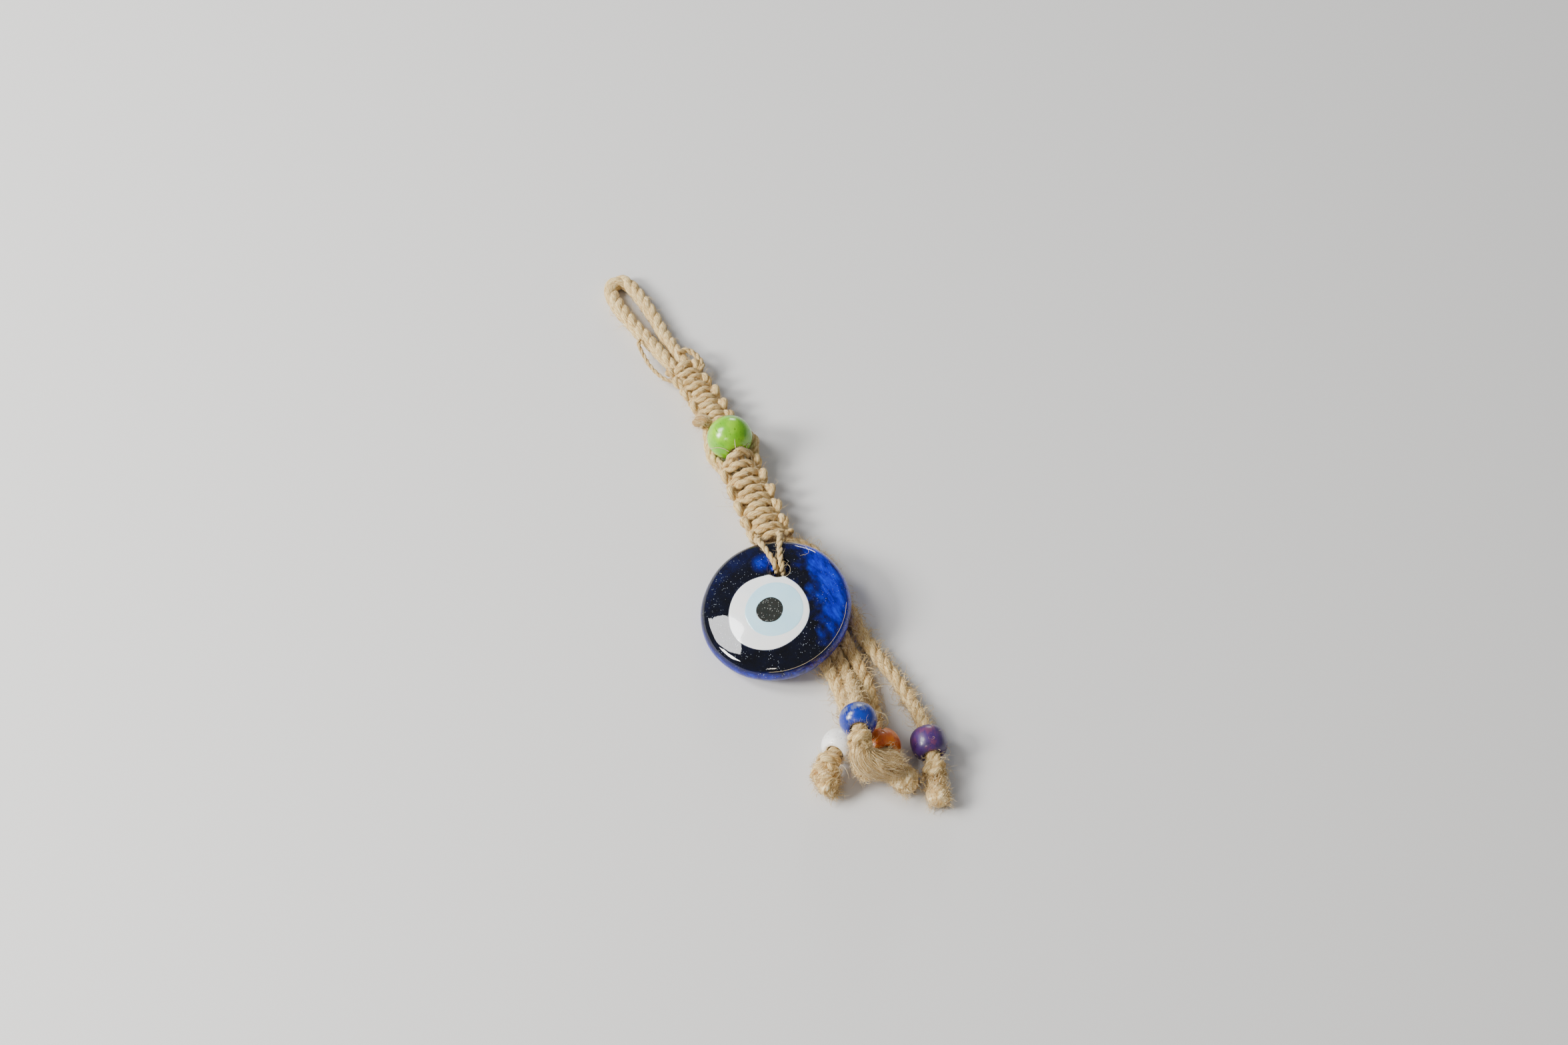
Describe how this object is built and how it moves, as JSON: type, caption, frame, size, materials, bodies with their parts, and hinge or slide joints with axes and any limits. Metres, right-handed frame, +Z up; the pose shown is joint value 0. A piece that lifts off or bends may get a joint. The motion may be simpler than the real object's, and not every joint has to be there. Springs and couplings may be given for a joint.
{
  "type": "evil eye ornament",
  "caption": "Hanging eye charm: a domed blue glass disc with an inlaid eye on a knotted jute strap with a loop, and beaded jute tails.",
  "frame": {"origin": "middle of the footprint of the strap, loop and glass disc on the surface that the ornament lies on", "axes": "+Z up out of the face, +Y from the glass disc towards the hanging loop, +X to the right as seen from above"},
  "size_m": [0.0932, 0.171, 0.0181],
  "materials": {
    "jute_rope": "coarse three-ply twisted jute, hairy",
    "jute_twine": "thin twisted jute, hairy",
    "jute_fray": "opened jute fibres",
    "cobalt_glass": "poured cobalt glass, fire polished",
    "white_glass": "opaque white glass enamel, gloss",
    "pale_blue_glass": "opaque pale blue glass enamel, gloss",
    "black_glass": "opaque black glass with tiny bubbles, gloss",
    "green_paint": "wooden bead, lime green gloss stain",
    "white_paint": "wooden bead, white gloss paint",
    "blue_paint": "wooden bead, dark blue paint, worn",
    "orange_paint": "wooden bead, orange paint",
    "purple_paint": "wooden bead, dark purple stain, worn"
  },
  "bodies": {
    "strap": {"main_rope_left": "jute_rope", "main_rope_right": "jute_rope", "second_rope": "jute_rope", "upper_knots": "jute_twine", "lower_knots": "jute_twine", "bead_strands": "jute_twine", "white_tail": "jute_rope", "blue_tail": "jute_rope", "orange_tail": "jute_rope", "purple_tail": "jute_rope", "white_knot": "jute_rope", "blue_knot": "jute_rope", "orange_knot": "jute_rope", "purple_knot": "jute_rope", "white_end": "jute_fray", "blue_end": "jute_fray", "orange_end": "jute_fray", "purple_end": "jute_fray"},
    "loop": {"hanging_loop": "jute_rope"},
    "green_bead": {"green_bead": "green_paint"},
    "sling": {"sling_left": "jute_twine", "sling_right": "jute_twine", "sling_knot": "jute_twine"},
    "glass": {"glass_disc": "cobalt_glass", "eye_white": "white_glass", "eye_pale_blue": "pale_blue_glass", "eye_pupil": "black_glass"},
    "white_bead": {"white_bead": "white_paint"},
    "blue_bead": {"blue_bead": "blue_paint"},
    "orange_bead": {"orange_bead": "orange_paint"},
    "purple_bead": {"purple_bead": "purple_paint"}
  },
  "joints": [
    {"name": "loop_fold", "type": "hinge", "parent": "strap", "child": "loop", "pos_m": [-0.0151, 0.0379, 0.0034], "axis": [0.8235, 0.5673, 0], "range_deg": [0, 60]},
    {"name": "green_bead_spin", "type": "hinge", "parent": "strap", "child": "green_bead", "pos_m": [0.0022, 0.0059, 0.00845], "axis": [0.3499, -0.9368, 0], "continuous": true},
    {"name": "sling_lift", "type": "hinge", "parent": "strap", "child": "sling", "pos_m": [0.013, -0.0274, 0.009], "axis": [-0.9349, -0.355, 0], "range_deg": [0, 60]},
    {"name": "glass_swing", "type": "hinge", "parent": "sling", "child": "glass", "pos_m": [0.01638, -0.03845, 0.00794], "axis": [-0.1696, -0.0667, 0.9833], "range_deg": [0, 30]},
    {"name": "white_bead_spin", "type": "hinge", "parent": "strap", "child": "white_bead", "pos_m": [0.0311, -0.0871, 0.0049], "axis": [-0.3975, -0.8368, 0.3766], "continuous": true},
    {"name": "blue_bead_spin", "type": "hinge", "parent": "strap", "child": "blue_bead", "pos_m": [0.0356, -0.084, 0.0129], "axis": [0.0418, -0.9414, 0.3347], "continuous": true},
    {"name": "orange_bead_spin", "type": "hinge", "parent": "strap", "child": "orange_bead", "pos_m": [0.0419, -0.0872, 0.0049], "axis": [0.2064, -0.8668, 0.454], "continuous": true},
    {"name": "purple_bead_spin", "type": "hinge", "parent": "strap", "child": "purple_bead", "pos_m": [0.0536, -0.0862, 0.0048], "axis": [0.1996, -0.978, 0.0599], "continuous": true}
  ]
}
